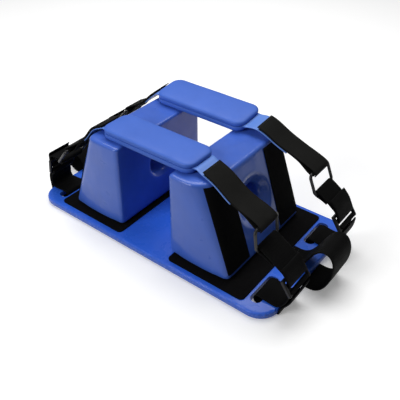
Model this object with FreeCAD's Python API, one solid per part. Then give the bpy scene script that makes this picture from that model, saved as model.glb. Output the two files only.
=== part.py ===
import FreeCAD, Part
import math
import os

from FreeCAD import Vector

# Head immobiliser for a spine board, in millimetres.
# X runs along the base plate from left to right, Y from front to rear, Z up.
# The origin is under the middle of the plate, on the surface that it stands on.

# Base plate
PLATE_LENGTH = 400.0
PLATE_WIDTH = 215.0
PLATE_THICKNESS = 10.0
PLATE_CORNER = 28.0
PLATE_EDGE = 3.5

# Slots for the webbing, one near each corner of the plate
SLOT_INNER_X = 163.0
SLOT_WIDTH = 15.0
SLOT_NEAR_Y = 40.0
SLOT_FAR_Y = 91.0
SLOT_CORNER = 6.2
RECESS_DEPTH = 2.4

# Hook-and-loop panels on the plate
PANEL_INNER_X = 42.0
PANEL_OUTER_X = 159.5
PANEL_HALF_WIDTH = 99.0
PANEL_THICKNESS = 1.5
PANEL_CORNER = 6.0

# Head blocks
BLOCK_INNER_X = {"left": 47.5, "right": 36.5}
BLOCK_BASE_WIDTH = 95.0
BLOCK_TOP_WIDTH = 54.0
BLOCK_BASE_HALF_LENGTH = 87.0
BLOCK_TOP_HALF_LENGTH = 85.0
BLOCK_HEIGHT = 121.0
BLOCK_CROWN = 2.5
BLOCK_EDGE = 2.5
# corner radii at the base and at the top; each block has one corner that opens like a cone
INNER_CORNER = (5.0, 5.0)
OUTER_CORNER = (7.0, 12.0)
CONE_CORNER = (7.0, 30.0)
BODY_GAP = 0.3
SOLE_THICKNESS = 1.8
SOLE_MARGIN = 6.0

# Ear hole through each block
EAR_Z = 77.0
EAR_RADIUS = 20.0
EAR_INNER_RIM = 25.0
EAR_INNER_DEPTH = 5.0
EAR_OUTER_RIM = 36.0
EAR_OUTER_DEPTH = 9.0

# Hook-and-loop strips on the outer face of each block
STRIP_INNER_Y = 38.0
STRIP_OUTER_Y = 83.0
STRIP_OUTER_Y_ON_CONE = 76.5
STRIP_LOW_Z = 21.0
STRIP_HIGH_Z = 130.0
STRIP_THICKNESS = 1.2

# Padded bars across the blocks
PAD_LENGTH = 148.0
PAD_WIDTH = 52.0
PAD_SHELL = 7.2
PAD_CORNER = 14.0
PAD_CENTRE_X = {"front": -12.0, "rear": -20.0}
PAD_CENTRE_Y = {"front": -48.0, "rear": 68.0}
PAD_CLEARANCE = 0.5
VINYL_THICKNESS = 1.2
VINYL_WIDTH = 36.0
VINYL_START = 3.0
VINYL_REACH = 121.0
VINYL_GAP = 0.25

# Adjusting straps, rings and webbing
CHAIN_Y = 64.0
STRAP_WIDTH = 34.0
STRAP_THICKNESS = 1.5
WEBBING_WIDTH = 38.0
WEBBING_THICKNESS = 2.0
RING_WIRE_RADIUS = 2.0
RING_HALF_WIDTH = 22.5
WRAP_CLEARANCE = 0.3
FLAP_WRAP_DEGREES = 105.0
STRAP_SETBACK = 3.0

# Ladder-lock buckles; the legs of their webbing are drawn for an anchor bar at one place
DRAWN_ANCHOR = (213.0, 46.0)
BUCKLE_HALF_WIDTH = 23.5
BUCKLE_RAIL = 3.2
BUCKLE_HALF_THICKNESS = 2.2
ANCHOR_BAR_RADIUS = 2.0
MID_BAR_U = 10.5
MID_BAR_HALF = 1.4
TOP_BAR_U = 19.0
BIGHT_THICKNESS = 1.5

# Where each chain of strap, ring and buckle hangs, as (x, z) and degrees:
# the points that the strap passes and how far from the pad its upper layer starts, the ring's two bars,
# how full the ring's webbing is, the buckle's anchor bar and its lean, and the length of the free tail
CHAINS = {
    ("right", "front"): {
        "strap": [(75.0, 141.6), (93.5, 137.2), (120.0, 125.0), (141.0, 118.8)], "flap_start": 13.0,
        "ring_top": (162.5, 112.5), "ring_bottom": (166.5, 85.0), "fullness": 0.0,
        "anchor": (213.5, 43.0), "lean": 34.5, "tail": 14.0},
    ("right", "rear"): {
        "strap": [(74.0, 146.6), (105.0, 135.8), (137.0, 124.8)], "flap_start": 20.0,
        "ring_top": (160.0, 114.5), "ring_bottom": (171.0, 89.0), "fullness": 0.0,
        "anchor": (210.0, 51.0), "lean": 34.5, "tail": 21.6},
    ("left", "front"): {
        "strap": [(106.0, 137.2), (113.5, 127.5), (124.0, 115.0), (137.0, 103.0)], "flap_start": 4.0,
        "ring_top": (149.0, 93.0), "ring_bottom": (168.5, 68.0), "fullness": 0.4,
        "anchor": (193.0, 42.0), "lean": 10.0, "tail": 12.0},
    ("left", "rear"): {
        "strap": [(107.0, 137.6), (124.0, 121.5), (142.0, 109.0)], "flap_start": 9.0,
        "ring_top": (157.0, 98.0), "ring_bottom": (176.0, 76.0), "fullness": 0.3,
        "anchor": (205.0, 42.0), "lean": 20.0, "tail": 12.0},
}

# Wide board straps
BOARD_STRAP_WIDTH = 48.0
BOARD_STRAP_THICKNESS = 1.8

SIDES = {"left": -1, "right": 1}
ENDS = {"front": -1, "rear": 1}

plate_half_length = PLATE_LENGTH / 2
plate_half_width = PLATE_WIDTH / 2
slot_outer_x = SLOT_INNER_X + SLOT_WIDTH
sole_z = PLATE_THICKNESS + PANEL_THICKNESS + BODY_GAP
block_z = sole_z + SOLE_THICKNESS
block_top_z = block_z + BLOCK_HEIGHT
block_slope = (BLOCK_BASE_WIDTH - BLOCK_TOP_WIDTH) / BLOCK_HEIGHT
pad_z = block_top_z + PAD_CLEARANCE
vinyl_z = pad_z + PAD_SHELL


def save(shape, name):
    shape.exportStep("parts/" + name + ".step")


def box(x0, x1, y0, y1, z0, z1):
    return Part.makeBox(x1 - x0, y1 - y0, z1 - z0, Vector(x0, y0, z0))


def rounded_outline(x0, x1, y0, y1, z, radii, crown=0.0):
    """Closed wire at height z. radii are for the corners (x0,y0), (x1,y0), (x1,y1), (x0,y1).

    The front and rear sides swell outward by crown at their middle."""
    r00, r10, r11, r01 = radii
    k = math.sqrt(0.5)

    def arc(start, middle, end):
        points = [Vector(x, y, z) for x, y in (start, middle, end)]
        return Part.Arc(*points).toShape()

    def side(start, end, swell):
        if swell == 0.0:
            return Part.makeLine(Vector(*start, z), Vector(*end, z))
        middle = ((start[0] + end[0]) / 2, start[1] + swell)
        return arc(start, middle, end)

    return Part.Wire([
        side((x0 + r00, y0), (x1 - r10, y0), -crown),
        arc((x1 - r10, y0), (x1 - r10 + r10 * k, y0 + r10 - r10 * k), (x1, y0 + r10)),
        side((x1, y0 + r10), (x1, y1 - r11), 0.0),
        arc((x1, y1 - r11), (x1 - r11 + r11 * k, y1 - r11 + r11 * k), (x1 - r11, y1)),
        side((x1 - r11, y1), (x0 + r01, y1), crown),
        arc((x0 + r01, y1), (x0 + r01 - r01 * k, y1 - r01 + r01 * k), (x0, y1 - r01)),
        side((x0, y1 - r01), (x0, y0 + r00), 0.0),
        arc((x0, y0 + r00), (x0 + r00 - r00 * k, y0 + r00 - r00 * k), (x0 + r00, y0)),
    ])


def slab(x0, x1, y0, y1, z0, z1, radius):
    outline = rounded_outline(x0, x1, y0, y1, z0, [radius] * 4)
    return Part.Face(outline).extrude(Vector(0, 0, z1 - z0))


def edges_at(shape, z):
    """Edges that lie wholly at height z."""
    return [e for e in shape.Edges if abs(e.BoundBox.ZMin - z) < 1e-4 and abs(e.BoundBox.ZMax - z) < 1e-4]


def sideways(shape, side):
    """A piece drawn on the right, moved to its own side."""
    if side == "right":
        return shape
    return shape.mirror(Vector(0, 0, 0), Vector(1, 0, 0))


def base_plate():
    plate = slab(-plate_half_length, plate_half_length, -plate_half_width, plate_half_width,
                 0, PLATE_THICKNESS, PLATE_CORNER)
    rims = edges_at(plate, 0) + edges_at(plate, PLATE_THICKNESS)
    plate = plate.makeFillet(PLATE_EDGE, rims)
    cutters = []
    for side in SIDES.values():
        for end in ENDS.values():
            xs = sorted((side * SLOT_INNER_X, side * slot_outer_x))
            ys = sorted((end * SLOT_NEAR_Y, end * SLOT_FAR_Y))
            cutters.append(slab(*xs, *ys, -1, PLATE_THICKNESS + 1, SLOT_CORNER))
            # shallow recess under each finger, so that the webbing round it doesn't lift the plate
            xs = sorted((side * (slot_outer_x - 3), side * (plate_half_length + 5)))
            half = WEBBING_WIDTH / 2 + 2
            ys = sorted((end * (CHAIN_Y - half), end * (CHAIN_Y + half)))
            cutters.append(box(*xs, *ys, -1, RECESS_DEPTH))
        xs = sorted((side * 148, side * (plate_half_length + 5)))
        half = BOARD_STRAP_WIDTH / 2 + 2
        cutters.append(box(*xs, -half, half, -1, RECESS_DEPTH))
    return plate.cut(cutters)


def loop_panel():
    return slab(PANEL_INNER_X, PANEL_OUTER_X, -PANEL_HALF_WIDTH, PANEL_HALF_WIDTH,
                PLATE_THICKNESS, PLATE_THICKNESS + PANEL_THICKNESS, PANEL_CORNER)


def cone_end(side):
    """The end with the cone corner: both blocks are the same piece, turned half a turn."""
    return "front" if side == "right" else "rear"


def block_form(side, grow):
    """The block's outside. grow moves its outer, front and rear faces outward."""
    inner_x = BLOCK_INNER_X[side]
    outlines = []
    for level, (z, width, half, crown) in enumerate((
            (block_z, BLOCK_BASE_WIDTH, BLOCK_BASE_HALF_LENGTH, BLOCK_CROWN),
            (block_top_z, BLOCK_TOP_WIDTH, BLOCK_TOP_HALF_LENGTH, BLOCK_CROWN / 4))):
        corners = {end: OUTER_CORNER[level] + grow for end in ENDS}
        corners[cone_end(side)] = CONE_CORNER[level] + grow
        radii = [INNER_CORNER[level], corners["front"], corners["rear"], INNER_CORNER[level]]
        outlines.append(rounded_outline(inner_x, inner_x + width + grow, -half - grow, half + grow,
                                        z, radii, crown))
    return Part.makeLoft(outlines, True, True)


def ear_hole(inner_x):
    bore = Part.makeCylinder(EAR_RADIUS, 200, Vector(inner_x - 20, 0, EAR_Z), Vector(1, 0, 0))
    inner_rim = Part.makeCone(EAR_INNER_RIM + 1, EAR_RADIUS, EAR_INNER_DEPTH + 1,
                              Vector(inner_x - 1, 0, EAR_Z), Vector(1, 0, 0))
    lean = math.atan(block_slope)
    inward = Vector(-math.cos(lean), 0, -math.sin(lean))
    face_x = inner_x + BLOCK_TOP_WIDTH + (block_top_z - EAR_Z) * block_slope
    start = Vector(face_x, 0, EAR_Z + 1.5) - inward * 2
    flare = (EAR_OUTER_RIM - EAR_RADIUS) / EAR_OUTER_DEPTH
    outer_rim = Part.makeCone(EAR_OUTER_RIM + 2 * flare, EAR_RADIUS, EAR_OUTER_DEPTH + 2, start, inward)
    return bore.fuse([inner_rim, outer_rim])


def head_block(side):
    form = block_form(side, 0.0)
    form = form.makeFillet(BLOCK_EDGE, edges_at(form, block_z) + edges_at(form, block_top_z))
    return form.cut(ear_hole(BLOCK_INNER_X[side]))


def block_sole(inner_x):
    half = BLOCK_BASE_HALF_LENGTH - SOLE_MARGIN
    return slab(inner_x + SOLE_MARGIN, inner_x + BLOCK_BASE_WIDTH - SOLE_MARGIN, -half, half,
                sole_z, block_z, 6.0)


def block_strip(side, end):
    skin = block_form(side, STRIP_THICKNESS).cut(block_form(side, 0.0))
    start = BLOCK_INNER_X[side] + BLOCK_TOP_WIDTH / 2
    high_y = STRIP_OUTER_Y_ON_CONE if end == cone_end(side) else STRIP_OUTER_Y
    outline = [Vector(start, ENDS[end] * y, z) for y, z in (
        (STRIP_INNER_Y, STRIP_LOW_Z), (STRIP_OUTER_Y, STRIP_LOW_Z),
        (high_y, STRIP_HIGH_Z), (STRIP_INNER_Y, STRIP_HIGH_Z))]
    zone = Part.Face(Part.makePolygon(outline + outline[:1])).extrude(Vector(BLOCK_BASE_WIDTH, 0, 0))
    return skin.common(zone)


def pad_shell(end, upper):
    x0 = PAD_CENTRE_X[end] - PAD_LENGTH / 2
    y0 = PAD_CENTRE_Y[end] - PAD_WIDTH / 2
    z0 = vinyl_z + VINYL_THICKNESS if upper else pad_z
    shell = slab(x0, x0 + PAD_LENGTH, y0, y0 + PAD_WIDTH, z0, z0 + PAD_SHELL, PAD_CORNER)
    if upper:
        return shell.makeFillet(4.0, edges_at(shell, z0 + PAD_SHELL))
    return shell.makeFillet(2.5, edges_at(shell, z0))


def band(points, thickness, y_centre, width, samples=48):
    """A flat band: a smooth line through points (x, z), given a thickness and extruded along Y."""
    line = Part.BSplineCurve()
    line.interpolate([Vector(x, 0, z) for x, z in points])
    first, last = line.FirstParameter, line.LastParameter
    upper, lower = [], []
    for i in range(samples + 1):
        at = first + (last - first) * i / samples
        point = line.value(at)
        tangent = line.tangent(at)[0]
        normal = Vector(-tangent.z, 0, tangent.x) * (thickness / 2)
        upper.append(point + normal)
        lower.append(point - normal)
    top = Part.BSplineCurve()
    top.interpolate(upper)
    bottom = Part.BSplineCurve()
    bottom.interpolate(lower)
    outline = Part.Wire([
        top.toShape(),
        Part.makeLine(upper[-1], lower[-1]),
        bottom.toShape(),
        Part.makeLine(lower[0], upper[0]),
    ])
    solid = Part.Face(outline).extrude(Vector(0, width, 0))
    solid.translate(Vector(0, y_centre - width / 2, 0))
    return solid


def round_bar(centre, radius, start, end, steps=8):
    """Points (x, z) on an arc round centre, from angle start to end in degrees from +X towards +Z."""
    points = []
    for i in range(steps + 1):
        angle = math.radians(start + (end - start) * i / steps)
        points.append((centre[0] + radius * math.cos(angle), centre[1] + radius * math.sin(angle)))
    return points


def strap_line(side, end):
    """Middle line of an adjusting strap, from its pad towards the ring, as points (x, z) on the right."""
    over_vinyl = (VINYL_THICKNESS + STRAP_THICKNESS) / 2 + VINYL_GAP
    start = (pad_end_x(side, end) + VINYL_START, vinyl_z + VINYL_THICKNESS / 2 + over_vinyl)
    return [start] + CHAINS[side, end]["strap"] + [strap_wrap(side, end)[0]]


def strap_wrap(side, end):
    """The strap's middle line under and round the ring's top bar."""
    return round_bar(CHAINS[side, end]["ring_top"], wrap_radius(0, STRAP_THICKNESS), -112, 68)


def pad_end_x(side, end):
    """How far the pad reaches to this side, as a positive number."""
    return SIDES[side] * PAD_CENTRE_X[end] + PAD_LENGTH / 2


def middle_y(end):
    """Y of the ring, the buckle and their webbing, near the middle of the slot."""
    return ENDS[end] * CHAIN_Y


def slanted(shape, end, x_start, x_stop):
    """Slants a band made at the pad's middle, so that from x_start to x_stop it moves over to its ring."""
    slant = FreeCAD.Matrix()
    slant.A21 = (middle_y(end) - PAD_CENTRE_Y[end]) / (x_stop - x_start)
    slant.A24 = -slant.A21 * x_start
    return shape.transformGeometry(slant)


def shifted(points, distance, x_from, x_to, count=14):
    """Points at a distance from a smooth line, to its upper side, between two values of x."""
    line = Part.BSplineCurve()
    line.interpolate([Vector(x, 0, z) for x, z in points])
    moved = []
    for i in range(count + 1):
        x = x_from + (x_to - x_from) * i / count
        at = line.intersectCC(Part.LineSegment(Vector(x, 0, -500), Vector(x, 0, 500)))[0]
        tangent = line.tangent(line.parameter(Vector(at.X, at.Y, at.Z)))[0]
        moved.append((at.X - tangent.z * distance, at.Z + tangent.x * distance))
    return moved


def pad_strip(end):
    """Vinyl in the seam of a pad, a little longer than the pad."""
    half_width = VINYL_WIDTH / 2
    return box(-pad_end_x("left", end) - VINYL_START, pad_end_x("right", end) + VINYL_START,
               PAD_CENTRE_Y[end] - half_width, PAD_CENTRE_Y[end] + half_width,
               vinyl_z, vinyl_z + VINYL_THICKNESS)


def vinyl_lap(side, end):
    """Vinyl from the end of a pad's strip, down under the adjusting strap."""
    below = -(VINYL_THICKNESS + STRAP_THICKNESS) / 2 - VINYL_GAP
    start = pad_end_x(side, end) + VINYL_START
    middle_z = vinyl_z + VINYL_THICKNESS / 2
    points = [(start + 0.3, middle_z), (start + 1.5, middle_z - 0.15)]
    points += shifted(strap_line(side, end), below, start + 7, VINYL_REACH, 6)
    lap = band(points, VINYL_THICKNESS, PAD_CENTRE_Y[end], VINYL_WIDTH)
    return slanted(lap, end, start, CHAINS[side, end]["ring_top"][0])


def wrap_radius(layers_below, thickness):
    """Radius of the middle of a band that goes round a ring bar over other layers."""
    under = layers_below * (STRAP_THICKNESS + WRAP_CLEARANCE)
    return RING_WIRE_RADIUS + WRAP_CLEARANCE + under + thickness / 2


def adjusting_strap(side, end):
    """Lower layer: sewn on the vinyl, then under the ring's top bar and round it."""
    ring_top = CHAINS[side, end]["ring_top"]
    start = pad_end_x(side, end) + CHAINS[side, end]["flap_start"] + STRAP_SETBACK
    lying = shifted(strap_line(side, end), 0.0, start, ring_top[0] - 20)
    strap = band(lying + strap_wrap(side, end), STRAP_THICKNESS, PAD_CENTRE_Y[end], STRAP_WIDTH, samples=90)
    return slanted(strap, end, pad_end_x(side, end) + VINYL_START, ring_top[0])


def strap_flap(side, end):
    """Upper layer: from the ring back over the strap, cut square near the pad."""
    ring_top = CHAINS[side, end]["ring_top"]
    start = pad_end_x(side, end) + CHAINS[side, end]["flap_start"]
    lift = STRAP_THICKNESS + BODY_GAP + 0.1
    lying = shifted(strap_line(side, end), lift, start, ring_top[0] - 34)
    wrap = round_bar(ring_top, wrap_radius(1, STRAP_THICKNESS), 68, 68 - FLAP_WRAP_DEGREES)
    flap = band(lying + wrap, STRAP_THICKNESS, PAD_CENTRE_Y[end], STRAP_WIDTH, samples=90)
    return slanted(flap, end, pad_end_x(side, end) + VINYL_START, ring_top[0])


def ring(side, end):
    """A wire rectangle with rounded corners, standing between its strap and its webbing."""
    chain = CHAINS[side, end]
    top, bottom = (Vector(x, middle_y(end), z) for x, z in (chain["ring_top"], chain["ring_bottom"]))
    rise = top - bottom
    half = rise.Length / 2
    corner = 5.0
    path = rounded_outline(-half, half, -RING_HALF_WIDTH, RING_HALF_WIDTH, 0, [corner] * 4)
    start = Vector(-half + corner, -RING_HALF_WIDTH, 0)
    profile = Part.Wire([Part.makeCircle(RING_WIRE_RADIUS, start, Vector(1, 0, 0))])
    shape = path.makePipeShell([profile], True, False)
    shape.rotate(Vector(0, 0, 0), Vector(0, 1, 0), -math.degrees(math.atan2(rise.z, rise.x)))
    shape.translate((top + bottom) / 2)
    return shape


def on_buckle(chain, u, w):
    """A point (x, z) from the buckle's own directions: u from its anchor bar to its top bar, w outward."""
    lean = math.radians(chain["lean"])
    x, z = chain["anchor"]
    return x - u * math.sin(lean) + w * math.cos(lean), z + u * math.cos(lean) + w * math.sin(lean)


def ring_webbing(side, end):
    """From the buckle to the ring's bottom bar, round it, and sewn back on itself."""
    chain = CHAINS[side, end]
    radius = RING_WIRE_RADIUS + WRAP_CLEARANCE + WEBBING_THICKNESS / 2
    over_bar = BUCKLE_HALF_THICKNESS + 0.2 + WEBBING_THICKNESS / 2
    near, far = on_buckle(chain, TOP_BAR_U + 2.8, over_bar), on_buckle(chain, TOP_BAR_U + 6, over_bar)
    bar_x, bar_z = chain["ring_bottom"]
    length = math.dist(far, chain["ring_bottom"])
    angle = math.atan2(far[1] - bar_z, far[0] - bar_x)
    fullness = chain["fullness"] * length / 40

    def off_bar(along, across):
        return (bar_x + along * math.cos(angle) - across * math.sin(angle),
                bar_z + along * math.sin(angle) + across * math.cos(angle))

    upper = [off_bar(0.79 * length, 1.2 + 2.8 * fullness), off_bar(0.54 * length, 2.4 + 3.0 * fullness),
             off_bar(0.26 * length, 3.2 + 1.7 * fullness)]
    wrap = round_bar((bar_x, bar_z), radius, math.degrees(angle) + 92, math.degrees(angle) + 272)
    back = [off_bar(6.3, -1.95), off_bar(0.35 * length + 0.5, -1.0 + 2.8 * fullness),
            off_bar(0.55 * length, -0.8 + 3.0 * fullness)]
    return band([near, far] + upper + wrap + back, WEBBING_THICKNESS, middle_y(end), WEBBING_WIDTH, 90)


def webbing_tail(side, end):
    """Through the buckle: over the top bar, round the middle bar and back out as a free tail."""
    chain = CHAINS[side, end]
    half = BUCKLE_HALF_THICKNESS + 0.2 + BIGHT_THICKNESS / 2
    second = half + BIGHT_THICKNESS + 0.2
    radius = MID_BAR_HALF + 0.4 + BIGHT_THICKNESS / 2
    inward = [(TOP_BAR_U + 2.3, half), (TOP_BAR_U, half), (TOP_BAR_U - 3, half - 0.5)]
    around = []
    for i in range(9):
        angle = math.radians(-5 - 210 * i / 8)
        around.append((MID_BAR_U + radius * math.cos(angle), radius * math.sin(angle)))
    outward = [(MID_BAR_U + 1, second - 1.0), (MID_BAR_U + 5, second), (TOP_BAR_U + 1, second + 0.5),
               (TOP_BAR_U + 6, second + 1.1), (TOP_BAR_U + chain["tail"] / 2 + 3, second + 0.6),
               (TOP_BAR_U + chain["tail"], second - 0.9)]
    points = [on_buckle(chain, u, w) for u, w in inward + around + outward]
    return band(points, BIGHT_THICKNESS, middle_y(end), WEBBING_WIDTH, samples=120)


def buckle(side, end):
    """Ladder-lock frame: two rails, a round anchor bar, a middle bar and a top bar."""
    chain = CHAINS[side, end]
    inner = BUCKLE_HALF_WIDTH - BUCKLE_RAIL
    t = BUCKLE_HALF_THICKNESS
    rails = box(-2.2, TOP_BAR_U + 2, -BUCKLE_HALF_WIDTH, BUCKLE_HALF_WIDTH, -t, t)
    rails = rails.makeFillet(1.4, rails.Edges)
    frame = rails.cut(box(-3, TOP_BAR_U + 3, -inner, inner, -t - 1, t + 1))
    across = Vector(0, 1, 0)
    anchor = Part.makeCylinder(ANCHOR_BAR_RADIUS, 2 * inner + 2, Vector(0, -inner - 1, 0), across)
    middle = box(MID_BAR_U - MID_BAR_HALF, MID_BAR_U + MID_BAR_HALF, -inner - 1, inner + 1,
                 -MID_BAR_HALF, MID_BAR_HALF)
    middle = middle.makeFillet(0.9, [e for e in middle.Edges if e.BoundBox.YLength > 1])
    top = box(TOP_BAR_U - 1.8, TOP_BAR_U + 2, -inner - 1, inner + 1, -t, t)
    top = top.makeFillet(1.2, [e for e in top.Edges if e.BoundBox.YLength > 1])
    shape = frame.fuse([anchor, middle, top]).removeSplitter()
    shape.rotate(Vector(0, 0, 0), Vector(0, 1, 0), -(90 + chain["lean"]))
    x, z = chain["anchor"]
    shape.translate(Vector(x, middle_y(end), z))
    return shape


def anchor_webbing(side, end):
    """Round the buckle's anchor bar, over the slot and down by its inner side, and back under the plate."""
    chain = CHAINS[side, end]
    x, z = chain["anchor"]
    off = WEBBING_THICKNESS / 2 + 0.2
    wrap = round_bar((x, z), ANCHOR_BAR_RADIUS + 0.25 + WEBBING_THICKNESS / 2,
                     chain["lean"], chain["lean"] + 180)
    top_z = PLATE_THICKNESS + off
    inner_leg = [(210.6, 37.0), (207.6, 26.0), (202.6, 16.6), (196.5, top_z + 0.6)]
    outer_leg = [(202.0, 8.0), (206.0, 16.5), (211.5, 26.0), (215.2, 36.5), (216.3, 44.0)]
    over_slot = [(190.0, top_z + 0.2), (183.5, top_z + 0.6), (177.5, top_z + 1.5), (172.0, top_z + 1.9),
                 (168.3, top_z + 0.6), (166.6, top_z - 2.6)]
    under_z = RECESS_DEPTH - off
    in_slot = [(166.3, under_z + 4.2), (167.0, under_z + 1.6), (169.4, under_z + 0.2)]
    under = [(173.0, under_z), (179.0, under_z), (186.0, under_z), (193.0, under_z)]
    edge = round_bar((plate_half_length, RECESS_DEPTH), off, 270, 350, 3)
    points = wrap + towards((x, z), inner_leg) + over_slot + in_slot + under
    points += edge + towards((x, z), outer_leg)
    return band(points, WEBBING_THICKNESS, middle_y(end), WEBBING_WIDTH, samples=150)


def towards(anchor, leg):
    """Moves the points of a leg that was drawn for one anchor bar, so that it rises to another one."""
    x, z = DRAWN_ANCHOR
    lean = (anchor[0] - x) / (z - PLATE_THICKNESS)
    stretch = (anchor[1] - PLATE_THICKNESS) / (z - PLATE_THICKNESS)
    return [(px + max(pz - PLATE_THICKNESS, 0) * lean,
             PLATE_THICKNESS + (pz - PLATE_THICKNESS) * stretch) for px, pz in leg]


def board_strap(side):
    """A wide band from the panel, up in a loop beyond the edge, and back under the plate."""
    top_z = PLATE_THICKNESS + BOARD_STRAP_THICKNESS / 2 + 0.1
    under_z = BOARD_STRAP_THICKNESS / 2 + 0.3
    loops = {
        "right": [(184.0, 16.5), (192.0, 27.5), (200.0, 42.5), (208.0, 57.0), (216.5, 65.5), (225.5, 66.0),
                  (232.5, 58.5), (235.1, 45.0), (233.5, 30.0), (228.5, 16.0), (221.0, 5.6)],
        "left": [(185.0, 16.0), (194.0, 24.0), (204.0, 33.5), (215.0, 40.0), (225.5, 41.0),
                 (232.8, 35.5), (235.1, 26.5), (232.5, 16.5), (227.0, 8.5), (219.5, 3.5)],
    }
    points = [(160.5, top_z), (168.0, top_z), (176.0, top_z + 0.9)] + loops[side]
    points += [(213.0, under_z + 0.2), (202.0, under_z), (185.0, under_z), (168.0, under_z),
               (151.0, under_z)]
    return band(points, BOARD_STRAP_THICKNESS, 0.0, BOARD_STRAP_WIDTH, samples=110)


def build():
    save(base_plate(), "base_plate")
    for side in SIDES:
        pieces = {
            "loop_panel": loop_panel(),
            "board_strap": board_strap(side),
            "head_block": head_block(side),
            "block_sole": block_sole(BLOCK_INNER_X[side]),
            "block_front_strip": block_strip(side, "front"),
            "block_rear_strip": block_strip(side, "rear"),
        }
        for end in ENDS:
            pieces[end + "_vinyl_lap"] = vinyl_lap(side, end)
            pieces[end + "_strap"] = adjusting_strap(side, end)
            pieces[end + "_flap"] = strap_flap(side, end)
            pieces[end + "_ring"] = ring(side, end)
            pieces[end + "_ring_webbing"] = ring_webbing(side, end)
            pieces[end + "_webbing_tail"] = webbing_tail(side, end)
            pieces[end + "_buckle"] = buckle(side, end)
            pieces[end + "_anchor_webbing"] = anchor_webbing(side, end)
        for name, shape in pieces.items():
            save(sideways(shape, side), side + "_" + name)
    for end in ENDS:
        save(pad_shell(end, True), end + "_pad_upper")
        save(pad_shell(end, False), end + "_pad_lower")
        save(pad_strip(end), end + "_pad_strip")


os.makedirs("parts", exist_ok=True)
build()
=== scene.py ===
import math

import bmesh
import bpy
import numpy
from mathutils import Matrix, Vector, noise


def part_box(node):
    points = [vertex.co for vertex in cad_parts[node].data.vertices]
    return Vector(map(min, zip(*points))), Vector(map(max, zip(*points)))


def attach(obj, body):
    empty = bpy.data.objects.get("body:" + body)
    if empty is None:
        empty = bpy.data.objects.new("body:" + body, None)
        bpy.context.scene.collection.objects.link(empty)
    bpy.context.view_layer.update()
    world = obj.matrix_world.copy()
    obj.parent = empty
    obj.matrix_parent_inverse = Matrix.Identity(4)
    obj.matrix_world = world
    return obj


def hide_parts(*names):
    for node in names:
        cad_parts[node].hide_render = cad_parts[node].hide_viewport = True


# Looks of a head immobiliser for a spine board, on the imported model's frame.
# Sizes are written in millimetres and multiplied by MM where they reach Blender.
MM = 0.001

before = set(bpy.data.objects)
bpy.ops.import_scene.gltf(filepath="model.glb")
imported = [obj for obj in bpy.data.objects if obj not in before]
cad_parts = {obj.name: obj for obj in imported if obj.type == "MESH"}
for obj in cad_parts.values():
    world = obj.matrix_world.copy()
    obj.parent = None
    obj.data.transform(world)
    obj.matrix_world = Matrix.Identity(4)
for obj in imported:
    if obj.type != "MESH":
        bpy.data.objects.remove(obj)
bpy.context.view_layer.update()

SIDES = {"left": -1, "right": 1}
ENDS = {"front": -1, "rear": 1}

# Sizes shared with the CAD model
PAD_CENTRE_X = {"front": -12.0, "rear": -20.0}
PAD_CENTRE_Y = {"front": -48.0, "rear": 68.0}
PAD_LENGTH = 148.0
PAD_WIDTH = 52.0
PAD_CORNER = 14.0
VINYL_Z = 142.3
VINYL_THICKNESS = 1.2
VINYL_WIDTH = 36.0
VINYL_START = 3.0
VINYL_REACH = 121.0
VINYL_GAP = 0.25
RING_Y = 64.0
RING_WIRE = 2.0
WRAP_CLEARANCE = 0.3
STRAP_WIDTH = 34.0
STRAP_THICKNESS = 1.5
STRAP_SETBACK = 3.0
WEBBING_WIDTH = 38.0
WEBBING_THICKNESS = 2.0
BIGHT_THICKNESS = 1.5
DRAWN_ANCHOR = (213.0, 46.0)
BUCKLE_HALF_THICKNESS = 2.2
ANCHOR_BAR_RADIUS = 2.0
MID_BAR_U = 10.5
MID_BAR_HALF = 1.4
TOP_BAR_U = 19.0
PLATE_TOP = 10.0
PLATE_END = 200.0
RECESS = 2.4
BOARD_STRAP_WIDTH = 48.0
BOARD_STRAP_THICKNESS = 1.8
STRAP_WRAP = (-112, 68)
FLAP_WRAP = (68, -37)

# Sizes of the drawn detail
BAND_SPACING = 1.6
BAND_CELLS = 12
STITCH_WIDTH = 0.55
STITCH_LENGTH = 2.4
STITCH_PITCH = 3.2
STITCH_SIDES = 6
STITCH_LIFT = 0.1
WEB_SEAMS = (0.22, 0.26, 0.40)
REAR_TILT = 5.0
LEVEL_BEFORE_RING = 25.0
BLOCK_VOXEL = 1.8
BLOCK_SMOOTHING = 14
BLOCK_DENT = 0.35
PAD_DENT = 0.22
PAD_FLOOR_SLACK = 0.1

# Section of a padded bar's halves: (inset from the side, distance from the seam)
PAD_UPPER_PROFILE = [
    (0.9, 0.0), (0.25, 0.5), (0.0, 1.1), (0.0, 2.6), (0.15, 3.8), (0.55, 4.6), (1.3, 5.25),
    (2.3, 5.75), (3.2, 6.1), (4.2, 6.35), (6.0, 6.6), (9.0, 6.85), (13.0, 7.02), (18.0, 7.12)]
PAD_LOWER_PROFILE = [
    (0.9, 0.0), (0.25, 0.5), (0.0, 1.1), (0.0, 4.0), (0.3, 5.2), (1.0, 6.1), (2.2, 6.7),
    (4.5, 7.0), (9.0, 7.08), (18.0, 7.12)]

# Camera and studio. The camera stands at a distance from its target, in millimetres.
# The clip distances, the floor and the lights are in metres.
CAMERA_TARGET = (38.6, -24.0, 60.0)
CAMERA_DISTANCE = 733.4
CAMERA_AZIMUTH = 37.66
CAMERA_ELEVATION = 37.72
CAMERA_LENS = 49.64
CAMERA_SENSOR = 36.0
CAMERA_CLIP = (0.05, 20.0)
WORLD_STRENGTH = 0.16
FLOOR_HALF = 6.0
FLOOR_Z = -0.0005
FLOOR_GLOW = 0.21
LIGHT_AIM = (0, 0, 0.05)
LIGHTS = {
    "overhead": {"place": (-0.3, 0.45, 1.45), "size": (1.4, 1.0), "power": 18.5},
    "front": {"place": (-0.35, -1.25, 0.85), "size": (0.7, 0.5), "power": 10.8},
}

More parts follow.
